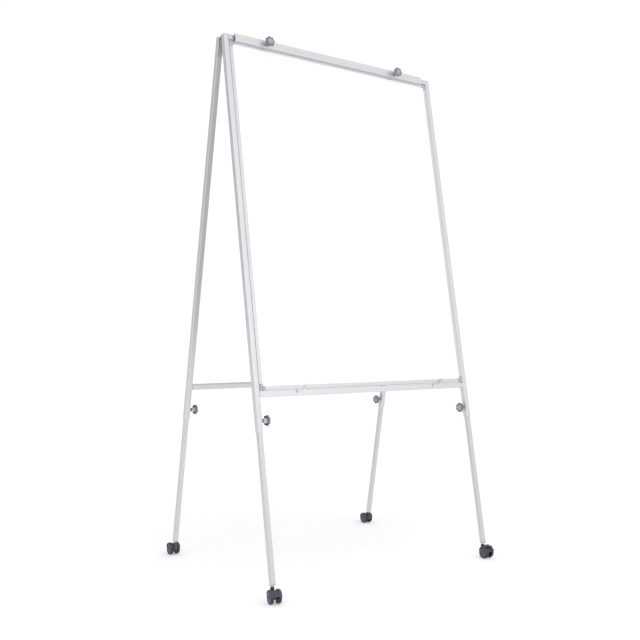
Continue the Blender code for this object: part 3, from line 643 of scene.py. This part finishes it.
        # five shallow ribs on the hub face
        for k in range(5):
            t = 2 * math.pi * k / 5 + 0.3
            rot = Matrix.Rotation(t, 4, "Z")
            rib = [(0.0072, -0.0009), (0.0150, -0.0006), (0.0150, 0.0006), (0.0072, 0.0009)]
            za, zb = sorted((s * (hi - 0.0016), s * (hi - 0.0004)))
            prism(bm, rib, za, zb, side_plane @ rot, mat=1, bevel=0.0002, segments=1)
        finish_piece(wnode + "_finished", bm, ["wheel", "hub"], BODY_OF[wnode], [wnode], sharp=38)
    if brake:
        bnode = "front_castor_brake_lever_right"
        bm = bmesh.new()
        side = [
            (0.0050, 0.0006), (0.0042, 0.0014), (0.0030, 0.0018), (0.0000, 0.0019), (-0.0040, 0.0018), (-0.0085, 0.0014), (-0.0130, 0.0012), (-0.0180, 0.0015), (-0.0225, 0.0022), (-0.0258, 0.0029), (-0.0261, 0.0024),
            (-0.0261, 0.0012), (-0.0230, 0.0004), (-0.0200, -0.0003), (-0.0160, -0.0009), (-0.0125, -0.0012), (-0.0040, -0.0013), (0.0034, -0.0013), (0.0046, -0.0010), (0.0050, -0.0004),
        ]
        # local x of the plane runs forwards, so the tail's negative x runs backwards
        prism(bm, side, -0.0089, 0.0089, ear_plane, bevel=0.0006)
        for k in range(5):
            u = -0.0130 - 0.0024 * k
            z0 = 0.0012 + 0.0014 * max(0.0, (-u - 0.0150) / 0.0110)
            ridge = [(u - 0.0004, z0 - 0.0005), (u - 0.0002, z0 + 0.00035), (u + 0.0002, z0 + 0.00035), (u + 0.0004, z0 - 0.0005)]
            prism(bm, ridge, -0.0072, 0.0072, ear_plane, bevel=0.0001, segments=1)
        for s in (-1, 1):
            lathe(bm, [(0.0004, s * 0.0050), (0.0012, s * 0.0050), (0.0012, s * 0.0114), (0.0008, s * 0.0116)], 20, ear_plane, mat=1)
        finish_piece(bnode + "_finished", bm, ["hood", "steel"], BODY_OF[bnode], [bnode], sharp=38)


for fw in ("front", "rear"):
    for word in ("left", "right"):
        castor(fw, word)


# ------------------------------------------------------------------ floor, light, camera
def pale_floor():
    """Pale sweep: plain diffuse under the easel, running out into the backdrop's own white."""
    g = Graph("pale_floor")
    n = g.noise(g.coords(), 1.4, 3.0, 0.5)
    far = g.node("ShaderNodeVectorMath", operation="LENGTH")
    g.link(g.coords(), far.inputs[0])
    out_there = g.ramp(far.outputs["Value"], 0.5, 2.0)
    colour = g.mix(g.ramp(n, 0.3, 0.7), (0.90, 0.90, 0.90), (0.93, 0.93, 0.93))
    colour = g.mix(out_there, colour, (0.02, 0.02, 0.02))
    lift = g.mix(out_there, (0.25, 0.25, 0.25), (1.0, 1.0, 1.0))
    g.link(lift, g.bsdf.inputs["Emission Color"])
    return g.done(colour, g.ramp(n, 0.3, 0.7, 0.85, 0.95), Emission_Strength=1.0)


bm = bmesh.new()
R = 30.0
vs = [bm.verts.new((R * math.cos(t), R * math.sin(t), 0.0)) for t in (2 * math.pi * k / 96 for k in range(96))]
bm.faces.new(vs)
me = bpy.data.meshes.new("floor")
bm.to_mesh(me)
bm.free()
me.materials.append(pale_floor())
floor = bpy.data.objects.new("floor", me)
scene.collection.objects.link(floor)

world = bpy.data.worlds.new("studio")
scene.world = world
world.use_nodes = True
wt = world.node_tree
wt.nodes.clear()
out = wt.nodes.new("ShaderNodeOutputWorld")
seen = wt.nodes.new("ShaderNodeBackground")
seen.inputs["Color"].default_value = (1, 1, 1, 1)
seen.inputs["Strength"].default_value = 1.05
lit = wt.nodes.new("ShaderNodeBackground")
tc = wt.nodes.new("ShaderNodeTexCoord")
dot = wt.nodes.new("ShaderNodeVectorMath")
dot.operation = "DOT_PRODUCT"
dot.inputs[1].default_value = Vector((-0.62, 0.78, -0.05)).normalized()
wt.links.new(tc.outputs["Generated"], dot.inputs[0])
mr = wt.nodes.new("ShaderNodeMapRange")
mr.inputs["From Min"].default_value = -0.3
mr.inputs["From Max"].default_value = 0.9
wt.links.new(dot.outputs["Value"], mr.inputs["Value"])
mx = wt.nodes.new("ShaderNodeMix")
mx.data_type = "RGBA"
rgba = [i for i in mx.inputs if i.type == "RGBA"]
rgba[0].default_value = (1.0, 1.0, 1.0, 1)
rgba[1].default_value = (0.60, 0.595, 0.635, 1)
wt.links.new(mr.outputs["Result"], mx.inputs["Factor"])
wt.links.new([o for o in mx.outputs if o.type == "RGBA"][0], lit.inputs["Color"])
lit.inputs["Strength"].default_value = 0.84
lp = wt.nodes.new("ShaderNodeLightPath")
ms = wt.nodes.new("ShaderNodeMixShader")
wt.links.new(lp.outputs["Is Camera Ray"], ms.inputs["Fac"])
wt.links.new(lit.outputs["Background"], ms.inputs[1])
wt.links.new(seen.outputs["Background"], ms.inputs[2])
wt.links.new(ms.outputs["Shader"], out.inputs["Surface"])


def area(name, loc, target, size, energy, colour=(1, 1, 1)):
    light = bpy.data.lights.new(name, "AREA")
    light.shape = "RECTANGLE"
    light.size, light.size_y = size
    light.energy = energy
    light.color = colour
    ob = bpy.data.objects.new(name, light)
    scene.collection.objects.link(ob)
    ob.location = loc
    ob.rotation_euler = (Vector(loc) - Vector(target)).to_track_quat("Z", "Y").to_euler()
    return ob


area("key_softbox", (1.2, -4.4, 2.5), (0, 0, 1.1), (4.4, 3.2), 32.0)
area("top_softbox", (0.0, 0.2, 4.6), (0, 0, 0.5), (5.0, 5.0), 16.0)
area("left_softbox", (-3.4, -1.5, 2.0), (-0.4, 0.1, 1.5), (1.6, 2.2), 15.0)

F_PX, YAW, PITCH, ROLL = 847.16, math.radians(35.609), math.radians(0.8055), math.radians(0.2333)
d = Vector((math.sin(YAW) * math.cos(PITCH), math.cos(YAW) * math.cos(PITCH), math.sin(PITCH)))
r = Vector((math.cos(YAW), -math.sin(YAW), 0))
u = r.cross(d)
r2 = r * math.cos(ROLL) + u * math.sin(ROLL)
u2 = -r * math.sin(ROLL) + u * math.cos(ROLL)
cam_data = bpy.data.cameras.new("camera")
cam_data.sensor_width = 36.0
cam_data.lens = F_PX / 640.0 * 36.0
cam_data.clip_start, cam_data.clip_end = 0.05, 100.0
cam = bpy.data.objects.new("camera", cam_data)
scene.collection.objects.link(cam)
cam.matrix_world = axes(r2, u2, -d, (-1.87507, -2.55537, 0.83405))
scene.camera = cam
